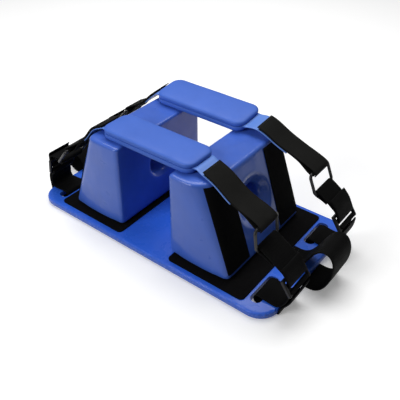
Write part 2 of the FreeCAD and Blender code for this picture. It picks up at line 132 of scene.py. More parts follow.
# Each chain of strap, ring, webbing and buckle. Places are (x, z), with x measured outward
# from the middle, lean is the buckle's in degrees, and fullness is how much the webbing bows.
CHAINS = {
    ("right", "front"): {
        "strap": [(75.0, 141.6), (93.5, 137.2), (120.0, 125.0), (141.0, 118.8)],
        "flap_start": 13.0,
        "ring_top": (162.5, 112.5), "ring_bottom": (166.5, 85.0), "fullness": 0.0,
        "anchor": (213.5, 43.0), "lean": 34.5, "tail": 14.0},
    ("right", "rear"): {
        "strap": [(74.0, 146.6), (105.0, 135.8), (137.0, 124.8)],
        "flap_start": 20.0,
        "ring_top": (160.0, 114.5), "ring_bottom": (171.0, 89.0), "fullness": 0.0,
        "anchor": (210.0, 51.0), "lean": 34.5, "tail": 21.6},
    ("left", "front"): {
        "strap": [(106.0, 137.2), (113.5, 127.5), (124.0, 115.0), (137.0, 103.0)],
        "flap_start": 4.0,
        "ring_top": (149.0, 93.0), "ring_bottom": (168.5, 68.0), "fullness": 0.4,
        "anchor": (193.0, 42.0), "lean": 10.0, "tail": 12.0},
    ("left", "rear"): {
        "strap": [(107.0, 137.6), (124.0, 121.5), (142.0, 109.0)],
        "flap_start": 9.0,
        "ring_top": (157.0, 98.0), "ring_bottom": (176.0, 76.0), "fullness": 0.3,
        "anchor": (205.0, 42.0), "lean": 20.0, "tail": 12.0},
}


# ---------------------------------------------------------------- curves

class Spline:
    """A smooth line through points (x, z), with natural ends."""

    def __init__(self, points):
        self.points = numpy.array(points, float)
        steps = numpy.linalg.norm(numpy.diff(self.points, axis=0), axis=1)
        self.knots = numpy.concatenate([[0.0], numpy.cumsum(steps)])
        count = len(points)
        matrix = numpy.zeros((count, count))
        values = numpy.zeros((count, 2))
        matrix[0, 0] = matrix[-1, -1] = 1.0
        for i in range(1, count - 1):
            before, after = steps[i - 1], steps[i]
            matrix[i, i - 1:i + 2] = before, 2 * (before + after), after
            values[i] = 6 * ((self.points[i + 1] - self.points[i]) / after
                             - (self.points[i] - self.points[i - 1]) / before)
        self.bends = numpy.linalg.solve(matrix, values)

    def value(self, at):
        i = int(numpy.clip(numpy.searchsorted(self.knots, at) - 1, 0, len(self.knots) - 2))
        span = self.knots[i + 1] - self.knots[i]
        a, b = (self.knots[i + 1] - at) / span, (at - self.knots[i]) / span
        return (a * self.points[i] + b * self.points[i + 1]
                + ((a ** 3 - a) * self.bends[i] + (b ** 3 - b) * self.bends[i + 1]) * span ** 2 / 6)

    def stations(self, spacing):
        """Points at an even spacing, and the length travelled at each."""
        fine = numpy.linspace(0.0, self.knots[-1], 600)
        places = numpy.array([self.value(t) for t in fine])
        lengths = numpy.concatenate([[0.0], numpy.cumsum(
            numpy.linalg.norm(numpy.diff(places, axis=0), axis=1))])
        count = max(4, int(lengths[-1] / spacing))
        wanted = numpy.linspace(0.0, lengths[-1], count + 1)
        points = [self.value(numpy.interp(w, lengths, fine)) for w in wanted]
        return points, list(wanted)

    def shifted(self, distance, x_from, x_to, count):
        """Points at a distance from the line, to its upper side, between two values of x."""
        fine = numpy.linspace(0.0, self.knots[-1], 900)
        places = numpy.array([self.value(t) for t in fine])
        moved = []
        for i in range(count + 1):
            x = x_from + (x_to - x_from) * i / count
            k = int(numpy.clip(numpy.searchsorted(places[:, 0], x), 1, len(fine) - 2))
            here = self.value(numpy.interp(x, places[k - 1:k + 1, 0], fine[k - 1:k + 1]))
            way = places[k] - places[k - 1]
            way /= numpy.linalg.norm(way)
            moved.append((here[0] - way[1] * distance, here[1] + way[0] * distance))
        return moved


def round_bar(centre, radius, start, end, steps=8):
    """Points on an arc about a bar, between two angles in degrees."""
    points = []
    for i in range(steps + 1):
        angle = math.radians(start + (end - start) * i / steps)
        points.append((centre[0] + radius * math.cos(angle), centre[1] + radius * math.sin(angle)))
    return points


def on_buckle(chain, u, w):
    """A place on the leaning buckle: u along it from its anchor bar, w off its middle."""
    lean = math.radians(chain["lean"])
    x, z = chain["anchor"]
    return x - u * math.sin(lean) + w * math.cos(lean), z + u * math.cos(lean) + w * math.sin(lean)


def pad_end_x(side, end):
    """How far out a padded bar reaches on this side."""
    return SIDES[side] * PAD_CENTRE_X[end] + PAD_LENGTH / 2


def strap_line(side, end):
    """The middle line that the vinyl lap, the strap and its flap are laid along."""
    over_vinyl = (VINYL_THICKNESS + STRAP_THICKNESS) / 2 + VINYL_GAP
    start = (pad_end_x(side, end) + VINYL_START, VINYL_Z + VINYL_THICKNESS / 2 + over_vinyl)
    return [start] + CHAINS[side, end]["strap"] + [strap_wrap(side, end)[0]]


def strap_wrap(side, end):
    return round_bar(CHAINS[side, end]["ring_top"], wrap_radius(0), *STRAP_WRAP)


def wrap_radius(layers_below):
    """Radius of a strap's middle line round the ring bar, over the layers already there."""
    under = layers_below * (STRAP_THICKNESS + WRAP_CLEARANCE)
    return RING_WIRE + WRAP_CLEARANCE + under + STRAP_THICKNESS / 2


def strap_points(side, end):
    """The lower layer: from under the flap's end out to the ring, and round its bar."""
    start = pad_end_x(side, end) + CHAINS[side, end]["flap_start"] + STRAP_SETBACK
    stop = CHAINS[side, end]["ring_top"][0] - 20
    return Spline(strap_line(side, end)).shifted(0.0, start, stop, 14) + strap_wrap(side, end)


def flap_points(side, end):
    """The upper layer, from its free end to its last turn over the ring bar."""
    ring_top = CHAINS[side, end]["ring_top"]
    lift = STRAP_THICKNESS + 0.4
    start = pad_end_x(side, end) + CHAINS[side, end]["flap_start"]
    lying = Spline(strap_line(side, end)).shifted(lift, start, ring_top[0] - 34, 14)
    return lying + round_bar(ring_top, wrap_radius(1), *FLAP_WRAP)


def lap_points(side, end):
    """The vinyl lap, from the bar's seam out under the strap."""
    below = -(VINYL_THICKNESS + STRAP_THICKNESS) / 2 - VINYL_GAP
    start = pad_end_x(side, end) + VINYL_START
    middle_z = VINYL_Z + VINYL_THICKNESS / 2
    points = [(start - 4.0, middle_z), (start + 1.0, middle_z - 0.1)]
    return points + Spline(strap_line(side, end)).shifted(below, start + 7, VINYL_REACH, 6)


def ring_webbing_points(side, end):
    """From the buckle's top bar up to the ring, round its bar and a short way back."""
    chain = CHAINS[side, end]
    radius = RING_WIRE + WRAP_CLEARANCE + WEBBING_THICKNESS / 2
    over_bar = BUCKLE_HALF_THICKNESS + 0.2 + WEBBING_THICKNESS / 2
    near = on_buckle(chain, TOP_BAR_U + 2.8, over_bar)
    far = on_buckle(chain, TOP_BAR_U + 6, over_bar)
    bar_x, bar_z = chain["ring_bottom"]
    length = math.dist(far, chain["ring_bottom"])
    angle = math.atan2(far[1] - bar_z, far[0] - bar_x)
    fullness = chain["fullness"] * length / 40

    def off_bar(along, across):
        return (bar_x + along * math.cos(angle) - across * math.sin(angle),
                bar_z + along * math.sin(angle) + across * math.cos(angle))

    upper = [off_bar(0.79 * length, 1.2 + 2.8 * fullness),
             off_bar(0.54 * length, 2.4 + 3.0 * fullness),
             off_bar(0.26 * length, 3.2 + 1.7 * fullness)]
    turn = math.degrees(angle)
    wrap = round_bar((bar_x, bar_z), radius, turn + 92, turn + 272)
    back = [off_bar(6.3, -1.95), off_bar(0.35 * length + 0.5, -1.0 + 2.8 * fullness),
            off_bar(0.55 * length, -0.8 + 3.0 * fullness)]
    return [near, far] + upper + wrap + back


def tail_points(side, end):
    """Over the top bar, round the middle bar and out again as a free tail."""
    chain = CHAINS[side, end]
    half = BUCKLE_HALF_THICKNESS + 0.2 + BIGHT_THICKNESS / 2
    second = half + BIGHT_THICKNESS + 0.2
    radius = MID_BAR_HALF + 0.4 + BIGHT_THICKNESS / 2
    inward = [(TOP_BAR_U + 2.3, half), (TOP_BAR_U, half), (TOP_BAR_U - 3, half - 0.5)]
    around = []
    for i in range(9):
        angle = math.radians(-5 - 210 * i / 8)
        around.append((MID_BAR_U + radius * math.cos(angle), radius * math.sin(angle)))
    tail = chain["tail"]
    outward = [(MID_BAR_U + 1, second - 1.0), (MID_BAR_U + 5, second),
               (TOP_BAR_U + 1, second + 0.5), (TOP_BAR_U + 6, second + 1.1),
               (TOP_BAR_U + tail / 2 + 3, second + 0.6),
               (TOP_BAR_U + tail, second - 0.9)]
    return [on_buckle(chain, u, w) for u, w in inward + around + outward]


def towards(anchor, leg):
    """A leg drawn for DRAWN_ANCHOR, leant and stretched to reach another anchor bar."""
    x, z = DRAWN_ANCHOR
    lean = (anchor[0] - x) / (z - PLATE_TOP)
    stretch = (anchor[1] - PLATE_TOP) / (z - PLATE_TOP)
    return [(px + max(pz - PLATE_TOP, 0) * lean, PLATE_TOP + (pz - PLATE_TOP) * stretch)
            for px, pz in leg]


def anchor_points(side, end):
    """Round the anchor bar, over and down the slot, under the plate and round its edge."""
    chain = CHAINS[side, end]
    bar = chain["anchor"]
    off = WEBBING_THICKNESS / 2 + 0.2
    wrap = round_bar(bar, ANCHOR_BAR_RADIUS + 0.25 + WEBBING_THICKNESS / 2,
                     chain["lean"], chain["lean"] + 180)
    top_z = PLATE_TOP + off
    inner_leg = [(210.6, 37.0), (207.6, 26.0), (202.6, 16.6), (196.5, top_z + 0.6)]
    outer_leg = [(202.0, 8.0), (206.0, 16.5), (211.5, 26.0), (215.2, 36.5), (216.3, 44.0)]
    over_slot = [(190.0, top_z + 0.2), (183.5, top_z + 0.6), (177.5, top_z + 1.5),
                 (172.0, top_z + 1.9), (168.3, top_z + 0.6), (166.6, top_z - 2.6)]
    under_z = RECESS - off
    in_slot = [(166.3, under_z + 4.2), (167.0, under_z + 1.6), (169.4, under_z + 0.2)]
    under = [(173.0, under_z), (179.0, under_z), (186.0, under_z), (193.0, under_z)]
    points = wrap + towards(bar, inner_leg) + over_slot + in_slot + under
    return points + round_bar((PLATE_END, RECESS), off, 270, 350, 3) + towards(bar, outer_leg)


def board_strap_points(side):
    """Out of the plate between its slots, round in a loop and back underneath."""
    top_z = PLATE_TOP + BOARD_STRAP_THICKNESS / 2 + 0.1
    under_z = BOARD_STRAP_THICKNESS / 2 + 0.3
    loops = {
        "right": [(184.0, 16.5), (192.0, 27.5), (200.0, 42.5), (208.0, 57.0), (216.5, 65.5),
                  (225.5, 66.0), (232.5, 58.5), (235.1, 45.0), (233.5, 30.0), (228.5, 16.0),
                  (221.0, 5.6)],
        "left": [(185.0, 16.0), (194.0, 24.0), (204.0, 33.5), (215.0, 40.0), (225.5, 41.0),
                 (232.8, 35.5), (235.1, 26.5), (232.5, 16.5), (227.0, 8.5), (219.5, 3.5)],
    }
    points = [(160.5, top_z), (168.0, top_z), (176.0, top_z + 0.9)] + loops[side]
    return points + [(213.0, under_z + 0.2), (202.0, under_z), (185.0, under_z), (168.0, under_z),
                     (151.0, under_z)]


# ---------------------------------------------------------------- meshes

def new_object(name, verts, faces, uvs=None):
    """verts are in millimetres; uvs has one pair of millimetres for each vertex."""
    mesh = bpy.data.meshes.new(name)
    mesh.from_pydata([tuple(c * MM for c in v) for v in verts], [], faces)
    if uvs is not None:
        layer = mesh.uv_layers.new(name="cloth")
        for loop in mesh.loops:
            u, v = uvs[loop.vertex_index]
            layer.data[loop.index].uv = (u * MM, v * MM)
    mesh.validate()
    mesh.update()
    obj = bpy.data.objects.new(name, mesh)
    bpy.context.scene.collection.objects.link(obj)
    for face in mesh.polygons:
        face.use_smooth = True
    return obj


def ribbon(name, points, width, thickness, y_centre, side, slant=None, ripple=0.25, seed=0.0,
           spacing=BAND_SPACING):
    """A band of webbing that follows points (x, z) on the right, mirrored for the left."""
    line = Spline(points)
    places, lengths = line.stations(spacing)
    half, t = width / 2, thickness / 2
    reach = half - 0.9 * t
    across = [-half, -half + 0.25 * t, -reach]
    across += [-reach + 2 * reach * i / BAND_CELLS for i in range(1, BAND_CELLS)]
    across += [reach, half - 0.25 * t, half]
    lift = []
    for a in across:
        rest = half - abs(a)
        lift.append(0.0 if rest < 1e-6 else t * min(1.0, 0.55 + 0.5 * rest / t))
    sign = SIDES[side]
    verts, uvs, rows = [], [], []
    for k, (x, z) in enumerate(places):
        before = places[max(k - 1, 0)]
        after = places[min(k + 1, len(places) - 1)]
        way = Vector((after[0] - before[0], after[1] - before[1])).normalized()
        normal = Vector((-way.y, way.x))
        shift = slant(x) if slant else 0.0
        top_row, low_row = [], []
        for a, up in zip(across, lift):
            y = y_centre + shift + a
            wave = ripple * noise.noise(Vector((lengths[k] * 0.045, a * 0.05, seed)))
            wave *= min(1.0, k / 5, (len(places) - 1 - k) / 5)
            for row, h in ((top_row, up + wave), (low_row, -up + wave)):
                row.append(len(verts))
                verts.append((sign * (x + normal.x * h), y, z + normal.y * h))
                uvs.append((lengths[k], a))
        rows.append((top_row, low_row))
    faces = []

    def quad(a, b, c, d):
        faces.append((a, b, c, d) if sign > 0 else (d, c, b, a))

    last = len(across) - 1
    for k in range(len(rows) - 1):
        (t0, l0), (t1, l1) = rows[k], rows[k + 1]
        for i in range(last):
            quad(t0[i], t1[i], t1[i + 1], t0[i + 1])
            quad(l0[i + 1], l1[i + 1], l1[i], l0[i])
    for top_row, low_row, flip in ((*rows[0], False), (*rows[-1], True)):
        for i in range(last):
            face = (low_row[i], top_row[i], top_row[i + 1], low_row[i + 1])
            if flip:
                face = face[::-1]
            quad(*face)
    obj = new_object(name, verts, faces, uvs)
    merge = bmesh.new()
    merge.from_mesh(obj.data)
    bmesh.ops.remove_doubles(merge, verts=merge.verts, dist=1e-7)
    bmesh.ops.recalc_face_normals(merge, faces=merge.faces)
    merge.to_mesh(obj.data)
    merge.free()
    return obj


def slant_for(side, end):
    """How far a strap has moved over towards its ring at x."""
    start = pad_end_x(side, end) + VINYL_START
    stop = CHAINS[side, end]["ring_top"][0]
    travel = ENDS[end] * RING_Y - PAD_CENTRE_Y[end]
    return lambda x: travel * (x - start) / (stop - start)


def stitch_row(name, spots, body):
    """Thread stitches as one mesh. spots holds (place, way, up) for each stitch, in millimetres."""
    verts, faces = [], []
    for place, way, up in spots:
        out = way.cross(up).normalized()
        base = len(verts)
        ends = [(-0.5, 0.35), (-0.28, 1.0), (0.28, 1.0), (0.5, 0.35)]
        for along, full in ends:
            for k in range(STITCH_SIDES):
                angle = math.tau * k / STITCH_SIDES
                r = STITCH_WIDTH / 2 * full
                spot = (place + way * (along * STITCH_LENGTH) + out * (r * math.cos(angle))
                        + up * (r * math.sin(angle) * 0.9))
                verts.append(tuple(spot))
        last = len(ends) - 1
        for j in range(last):
            for k in range(STITCH_SIDES):
                row = base + j * STITCH_SIDES
                a, b = row + k, row + (k + 1) % STITCH_SIDES
                faces.append((a, a + STITCH_SIDES, b + STITCH_SIDES, b))
        faces.append(tuple(base + k for k in range(STITCH_SIDES)))
        top = base + last * STITCH_SIDES
        faces.append(tuple(top + k for k in reversed(range(STITCH_SIDES))))
    obj = new_object(name, verts, faces)
    give(obj, "thread")
    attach(obj, body)
    return obj


def band_spot(line_places, lengths, distance, a, lift, y_centre, side, slant):
    """A place on the upper face of a band, distance along it and a across it."""
    k = int(numpy.clip(numpy.searchsorted(lengths, distance), 1, len(lengths) - 1))
    f = (distance - lengths[k - 1]) / (lengths[k] - lengths[k - 1])
    x, z = line_places[k - 1] * (1 - f) + line_places[k] * f
    way = line_places[k] - line_places[k - 1]
    way /= numpy.linalg.norm(way)
    sign = SIDES[side]
    shift = slant(x) if slant else 0.0
    turn = (slant(x + way[0]) - shift) if slant else 0.0
    place = Vector((sign * (x - way[1] * lift), y_centre + shift + a, z + way[0] * lift))
    along = Vector((sign * way[0], turn, way[1])).normalized()
    up = Vector((-sign * way[1], 0.0, way[0]))
    return place, along, up


def sewn(name, points, runs, lift, y_centre, side, body, slant=None):
    """Rows of stitches on a band. A run is (distance0, across0, distance1, across1)."""
    line = Spline(points)
    places, lengths = line.stations(0.8)
    spots = []
    for d0, a0, d1, a1 in runs:
        span = math.hypot(d1 - d0, a1 - a0)
        count = max(1, int(span / STITCH_PITCH))
        for i in range(count):
            f = (i + 0.5) / count
            place, along, up = band_spot(places, lengths, d0 + (d1 - d0) * f,
                                         a0 + (a1 - a0) * f, lift, y_centre, side, slant)
            over = Vector((0.0, 1.0, 0.0))
            way = (along * (d1 - d0) + over * (a1 - a0)).normalized()
            spots.append((place, way, up))
    return stitch_row(name, spots, body)


# ---------------------------------------------------------------- materials

def tree_of(name):
    mat = bpy.data.materials.new(name)
    mat.use_nodes = True
    return mat, mat.node_tree, mat.node_tree.nodes["Principled BSDF"]


def add(tree, kind, settings=(), **inputs):
    """A new node with its inputs set or linked. An input is named, or is i and its number."""
    made = tree.nodes.new(kind)
    for key, value in dict(settings).items():
        setattr(made, key, value)
    for key, value in inputs.items():
        numbered = key[0] == "i" and key[1:].isdigit()
        socket = made.inputs[int(key[1:]) if numbered else key]
        if isinstance(value, bpy.types.NodeSocket):
            tree.links.new(value, socket)
        else:
            socket.default_value = value
    return made


def noise_value(tree, vector, scale, detail=2.0, roughness=0.5):
    made = add(tree, "ShaderNodeTexNoise", Vector=vector, Scale=scale, Detail=detail,
               Roughness=roughness)
    return made.outputs["Fac"]


def spread(tree, value, low, high, start=0.3, stop=0.7):
    """The value's range from start to stop, mapped to low to high."""
    made = add(tree, "ShaderNodeMapRange", i0=value, i1=start, i2=stop, i3=low, i4=high)
    return made.outputs[0]


def blend_colours(tree, fac, first, second):
    made = add(tree, "ShaderNodeMix", {"data_type": "RGBA"}, i0=fac)
    for socket, value in ((made.inputs[6], first), (made.inputs[7], second)):
        if isinstance(value, bpy.types.NodeSocket):
            tree.links.new(value, socket)
        else:
            socket.default_value = (*value, 1.0)
    return made.outputs[2]


def math_node(tree, operation, a, b=0.0):
    return add(tree, "ShaderNodeMath", {"operation": operation}, i0=a, i1=b).outputs[0]


def bump_from(tree, height, distance, strength, normal=None):
    made = add(tree, "ShaderNodeBump", Height=height, Distance=distance, Strength=strength)
    if normal is not None:
        tree.links.new(normal, made.inputs["Normal"])
    return made.outputs["Normal"]


def coated_foam(name, colour, deep, rough, streaks=0.0, peel=0.25, coat=0.0):
    """Smooth skin over foam: faint clouding, faint dents and a fine orange peel."""
    mat, tree, bsdf = tree_of(name)
    place = add(tree, "ShaderNodeTexCoord").outputs["Object"]
    cloud = noise_value(tree, place, 22.0, 4.0, 0.6)
    tree.links.new(blend_colours(tree, spread(tree, cloud, 0.0, 1.0), deep, colour),
                   bsdf.inputs["Base Color"])
    tree.links.new(spread(tree, noise_value(tree, place, 60.0, 3.0), rough - 0.06, rough + 0.08),
                   bsdf.inputs["Roughness"])
    normal = bump_from(tree, noise_value(tree, place, 1400.0, 1.0), 0.0002, peel)
    normal = bump_from(tree, noise_value(tree, place, 30.0, 1.0), 0.004, 0.10, normal)
    if streaks:
        tall = add(tree, "ShaderNodeMapping", Vector=place, Scale=(1.0, 1.0, 0.08)).outputs[0]
        normal = bump_from(tree, noise_value(tree, tall, 55.0, 2.0), 0.003, streaks, normal)
    tree.links.new(normal, bsdf.inputs["Normal"])
    bsdf.inputs["Specular IOR Level"].default_value = 0.3
    bsdf.inputs["Coat Weight"].default_value = coat
    bsdf.inputs["Coat Roughness"].default_value = 0.09
    return mat


def plate_skin(name, colour, deep):
    """The plate's skin: glossier, with small wrinkles where it turns over the edge."""
    mat, tree, bsdf = tree_of(name)
    place = add(tree, "ShaderNodeTexCoord").outputs["Object"]
    cloud = noise_value(tree, place, 14.0, 4.0, 0.6)
    tree.links.new(blend_colours(tree, spread(tree, cloud, 0.0, 1.0), deep, colour),
                   bsdf.inputs["Base Color"])
    tree.links.new(spread(tree, noise_value(tree, place, 45.0, 3.0), 0.2, 0.36),
                   bsdf.inputs["Roughness"])
    shape = add(tree, "ShaderNodeNewGeometry")
    facing = add(tree, "ShaderNodeSeparateXYZ", Vector=shape.outputs["Normal"]).outputs["Z"]
    turned = spread(tree, facing, 1.0, 0.0, 0.80, 0.99)
    crumple = noise_value(tree, place, 330.0, 3.0, 0.6)
    crumple = math_node(tree, "MULTIPLY", crumple, turned)
    normal = bump_from(tree, noise_value(tree, place, 1500.0, 1.0), 0.0002, 0.2)
    normal = bump_from(tree, noise_value(tree, place, 40.0, 1.0), 0.004, 0.12, normal)
    normal = bump_from(tree, crumple, 0.0035, 0.8, normal)
    tree.links.new(normal, bsdf.inputs["Normal"])
    bsdf.inputs["Specular IOR Level"].default_value = 0.3
    bsdf.inputs["Coat Weight"].default_value = 0.25
    bsdf.inputs["Coat Roughness"].default_value = 0.08
    return mat


def woven(name, dark, light, pitch_along=1.9, pitch_across=1.5, rough=0.85, depth=0.5):
    """Webbing: a plain weave along the band's own length, a little fuzz and worn patches."""
    mat, tree, bsdf = tree_of(name)
    cloth = add(tree, "ShaderNodeUVMap", {"uv_map": "cloth"}).outputs["UV"]
    parts = add(tree, "ShaderNodeSeparateXYZ", Vector=cloth)
    along = math_node(tree, "SINE", math_node(tree, "MULTIPLY", parts.outputs["X"],
                                               math.tau / (pitch_along * MM)))
    over = math_node(tree, "SINE", math_node(tree, "MULTIPLY", parts.outputs["Y"],
                                              math.tau / (pitch_across * MM)))
    weave = spread(tree, math_node(tree, "MULTIPLY", along, over), 0.0, 1.0, -1.0, 1.0)
    place = add(tree, "ShaderNodeTexCoord").outputs["Object"]
    fuzz = noise_value(tree, place, 2600.0, 3.0, 0.7)
    worn = noise_value(tree, place, 55.0, 3.0, 0.6)
    tone = math_node(tree, "ADD", math_node(tree, "MULTIPLY", weave, 0.45),
                     math_node(tree, "MULTIPLY", fuzz, 0.35))
    tone = math_node(tree, "ADD", tone, math_node(tree, "MULTIPLY", worn, 0.35))
    tree.links.new(blend_colours(tree, spread(tree, tone, 0.0, 1.0, 0.3, 0.9), dark, light),
                   bsdf.inputs["Base Color"])
    normal = bump_from(tree, weave, 0.0005, depth)
    normal = bump_from(tree, fuzz, 0.0003, 0.5, normal)
    tree.links.new(normal, bsdf.inputs["Normal"])
    bsdf.inputs["Roughness"].default_value = rough
    bsdf.inputs["Specular IOR Level"].default_value = 0.07
    return mat


def pile(name, dark, light):
    """Hook-and-loop face: dense short pile."""
    mat, tree, bsdf = tree_of(name)
    place = add(tree, "ShaderNodeTexCoord").outputs["Object"]
    fuzz = noise_value(tree, place, 1300.0, 4.0, 0.75)
    clumps = noise_value(tree, place, 160.0, 3.0, 0.6)
    tone = math_node(tree, "ADD", math_node(tree, "MULTIPLY", fuzz, 0.6),
                     math_node(tree, "MULTIPLY", clumps, 0.4))
    tree.links.new(blend_colours(tree, spread(tree, tone, 0.0, 1.0), dark, light),
                   bsdf.inputs["Base Color"])
    normal = bump_from(tree, fuzz, 0.0008, 0.8)
    normal = bump_from(tree, clumps, 0.001, 0.4, normal)
    tree.links.new(normal, bsdf.inputs["Normal"])
    bsdf.inputs["Roughness"].default_value = 0.95
    bsdf.inputs["Specular IOR Level"].default_value = 0.08
    return mat


def moulded(name, dark, light, rough, grain=900.0, coat=0.0):
    """Moulded plastic, painted wire or thread: a fine grain, with rubbed places."""
    mat, tree, bsdf = tree_of(name)
    place = add(tree, "ShaderNodeTexCoord").outputs["Object"]
    rubbed = noise_value(tree, place, 70.0, 4.0, 0.65)
    tree.links.new(blend_colours(tree, spread(tree, rubbed, 0.0, 1.0), dark, light),
                   bsdf.inputs["Base Color"])
    tree.links.new(spread(tree, rubbed, rough - 0.08, rough + 0.1), bsdf.inputs["Roughness"])
    tree.links.new(bump_from(tree, noise_value(tree, place, grain, 2.0), 0.0002, 0.25),
                   bsdf.inputs["Normal"])
    bsdf.inputs["Specular IOR Level"].default_value = 0.3
    bsdf.inputs["Coat Weight"].default_value = coat
    return mat


MATERIALS = {
    "plate": plate_skin("plate_skin", (0.034, 0.150, 0.80), (0.028, 0.130, 0.72)),
    "block": coated_foam("block_skin", (0.056, 0.142, 0.60), (0.048, 0.124, 0.53), 0.33,
                         streaks=0.16, coat=0.35),
    "pad": coated_foam("pad_skin", (0.060, 0.155, 0.62), (0.052, 0.138, 0.56), 0.48, peel=0.4),
    "vinyl": coated_foam("vinyl_edge", (0.13, 0.27, 0.74), (0.11, 0.24, 0.68), 0.38),
    "strap": woven("strap_tape", (0.006, 0.006, 0.0055), (0.015, 0.015, 0.014),
                   1.4, 1.1, 0.8, 0.35),
    "webbing": woven("webbing_black", (0.0015, 0.0015, 0.0015), (0.005, 0.005, 0.0052),
                     2.6, 2.1, 0.7, 0.6),
    "board_strap": woven("board_webbing", (0.0015, 0.0015, 0.0015), (0.0048, 0.0048, 0.005),
                         3.0, 2.4, 0.75, 0.5),
    "pile": pile("loop_pile", (0.002, 0.002, 0.0022), (0.0065, 0.006, 0.0068)),
    "hook": pile("hook_tape", (0.0012, 0.0012, 0.0013), (0.0045, 0.0045, 0.0047)),
    "thread": moulded("thread", (0.012, 0.012, 0.012), (0.03, 0.03, 0.03), 0.6),
    "wire": moulded("ring_wire", (0.006, 0.006, 0.0066), (0.014, 0.014, 0.015), 0.34,
                    grain=500.0, coat=0.2),
    "buckle": moulded("buckle_plastic", (0.003, 0.003, 0.0034), (0.008, 0.008, 0.009), 0.40),
}


def give(obj, key):
    obj.data.materials.clear()
    obj.data.materials.append(MATERIALS[key])


# ---------------------------------------------------------------- pieces

def carried_over():
    """CAD nodes that stay, with their own materials."""
    keys = {"base_plate": "plate"}
    for side in SIDES:
        keys[side + "_loop_panel"] = "pile"
        keys[side + "_block_sole"] = "hook"
        for end in ENDS:
            keys[side + "_block_" + end + "_strip"] = "hook"
            keys[side + "_" + end + "_ring"] = "wire"
            keys[side + "_" + end + "_buckle"] = "buckle"
    for end in ENDS:
        keys[end + "_pad_strip"] = "vinyl"
    for node_name, key in keys.items():
        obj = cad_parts[node_name]
        for slot in obj.material_slots:
            slot.material = MATERIALS[key]


def soft_block(side):
    """The head block as skinned foam: the frame's shape with soft edges and faint dents."""
    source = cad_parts[side + "_head_block"]
    mesh = source.data.copy()
    obj = bpy.data.objects.new(side + "_foam_block", mesh)
    bpy.context.scene.collection.objects.link(obj)
    remesh = obj.modifiers.new("remesh", "REMESH")
    remesh.mode = "VOXEL"
    remesh.voxel_size = BLOCK_VOXEL * MM
    smooth = obj.modifiers.new("smooth", "SMOOTH")
    smooth.factor = 0.5
    smooth.iterations = BLOCK_SMOOTHING
    shaped = obj.evaluated_get(bpy.context.evaluated_depsgraph_get())
    final = bpy.data.meshes.new_from_object(shaped)
    obj.modifiers.clear()
    obj.data = final
    final.name = side + "_foam_block"
    normals = [vert.normal.copy() for vert in final.vertices]
    for vert, normal in zip(final.vertices, normals):
        p = vert.co
        dent = noise.noise(Vector((p.x * 28, p.y * 28, p.z * 9)) + Vector((3.1, 0.7, 1.9)))
        dent += 0.4 * noise.noise(Vector((p.x * 75, p.y * 75, p.z * 20)))
        vert.co = p + normal * (dent * BLOCK_DENT * MM)
    for face in final.polygons:
        face.use_smooth = True
    give(obj, "block")
    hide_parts(side + "_head_block")
    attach(obj, side + "_block")
    return obj


def rounded_ring(half_x, half_y, corner, z, centre, per_corner=8, per_side=(22, 8)):
    """Points round a rectangle with round corners, at height z, always the same number of them."""
    corner = max(corner, 0.4)
    points = []
    corners = [(half_x - corner, half_y - corner, 0), (-half_x + corner, half_y - corner, 90),
               (-half_x + corner, -half_y + corner, 180), (half_x - corner, -half_y + corner, 270)]
    for k, (cx, cy, start) in enumerate(corners):
        for i in range(per_corner + 1):
            angle = math.radians(start + 90 * i / per_corner)
            points.append((cx + corner * math.cos(angle), cy + corner * math.sin(angle)))
        nx, ny, _ = corners[(k + 1) % 4]
        angle = math.radians(start + 90)
        end_point = (cx + corner * math.cos(angle), cy + corner * math.sin(angle))
        next_point = (nx + corner * math.cos(angle), ny + corner * math.sin(angle))
        count = per_side[k % 2]
        for i in range(1, count):
            f = i / count
            points.append((end_point[0] * (1 - f) + next_point[0] * f,
                           end_point[1] * (1 - f) + next_point[1] * f))
    return [(centre[0] + x, centre[1] + y, z) for x, y in points]


def pad_shell(end, upper):
    """Half of a padded bar: a pressed edge at the seam, straight sides, a bevel and a low crown."""
    name = end + ("_pad_upper" if upper else "_pad_lower")
    low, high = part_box(name)
    centre = ((low.x + high.x) / 2 / MM, (low.y + high.y) / 2 / MM)
    half_x, half_y = (high.x - low.x) / 2 / MM, (high.y - low.y) / 2 / MM
    seam_z, face_z = (low.z / MM, high.z / MM) if upper else (high.z / MM, low.z / MM)
    way = 1 if upper else -1
    height = abs(face_z - seam_z)
    profile = PAD_UPPER_PROFILE if upper else PAD_LOWER_PROFILE
    verts, faces = [], []
    rings = []
    for inset, up in profile:
        z = seam_z + way * min(up, height)
        corner = PAD_CORNER - inset * 0.75
        rings.append(rounded_ring(half_x - inset, half_y - inset, corner, z, centre))
    for ring_points in rings:
        verts.extend(ring_points)
    count = len(rings[0])
    for j in range(len(rings) - 1):
        for i in range(count):
            a, b = j * count + i, j * count + (i + 1) % count
            faces.append((a, b, b + count, a + count) if upper else (a + count, b + count, b, a))
    top = len(rings) - 1
    inner = [top * count + i for i in range(count)]
    faces.append(tuple(inner) if upper else tuple(reversed(inner)))
    outer = list(range(count))
    faces.append(tuple(reversed(outer)) if upper else tuple(outer))
    obj = new_object(end + ("_bar_upper" if upper else "_bar_lower"), verts, faces)
    form = bmesh.new()
    form.from_mesh(obj.data)
    caps = [f for f in form.faces if len(f.verts) > 4]
    bmesh.ops.triangulate(form, faces=caps)
    form.to_mesh(obj.data)
    form.free()
    for vert in obj.data.vertices:
        p = vert.co
        soft = noise.noise(Vector((p.x * 26, p.y * 34, p.z * 26 + (3.0 if upper else 8.0))))
        soft += 0.5 * noise.noise(Vector((p.x * 70, p.y * 70, 4.0)))
        vert.co = p + Vector((0, 0, way * soft * PAD_DENT * MM))
        if not upper:
            vert.co.z = max(vert.co.z, low.z - PAD_FLOOR_SLACK * MM)
    if end == "rear":
        tilt_up(obj)
    give(obj, "pad")
    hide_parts(name)
    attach(obj, "base")
    return obj


